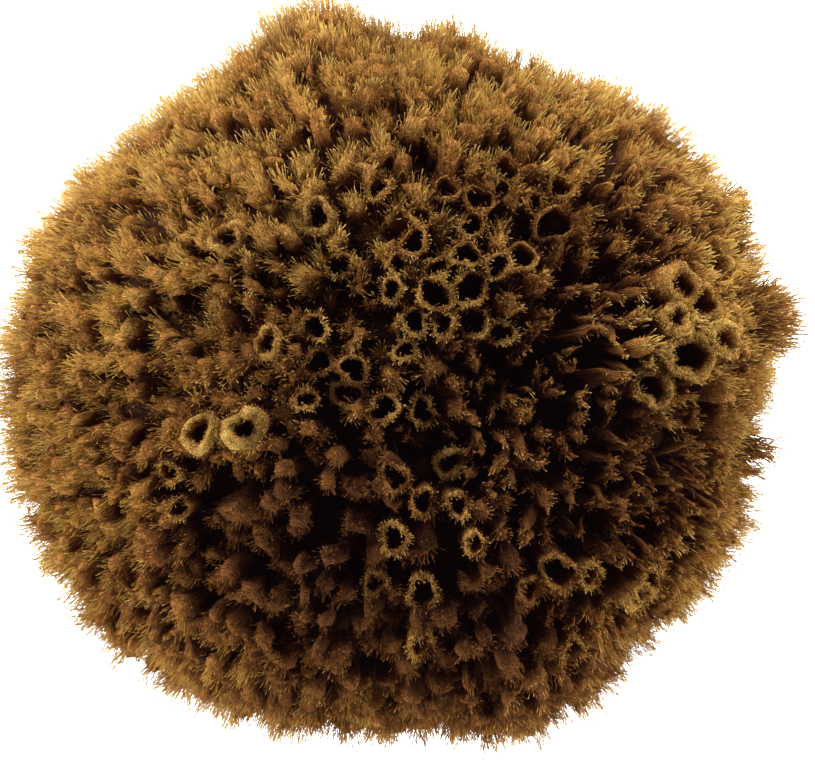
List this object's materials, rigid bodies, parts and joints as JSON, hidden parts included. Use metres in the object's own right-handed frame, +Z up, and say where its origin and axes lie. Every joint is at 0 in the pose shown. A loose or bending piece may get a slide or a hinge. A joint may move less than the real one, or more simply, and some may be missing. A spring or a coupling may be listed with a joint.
{
  "type": "sea sponge",
  "caption": "Natural dried bath sponge: a lobed dome of fibrous tufts and round tube openings, cut off flat underneath.",
  "frame": {"origin": "on the cut base, under the middle of the body", "axes": "+Z up from the cut base through the crown; +X towards the side with the coarse brush of tufts, right in the picture; +Y towards the top of the picture"},
  "size_m": [0.1593, 0.1505, 0.1031],
  "materials": {
    "sponge_fibre": "dry golden-brown felted fibre, slightly translucent at the tuft tips"
  },
  "bodies": {
    "root": {"sponge": "sponge_fibre"}
  },
  "joints": []
}
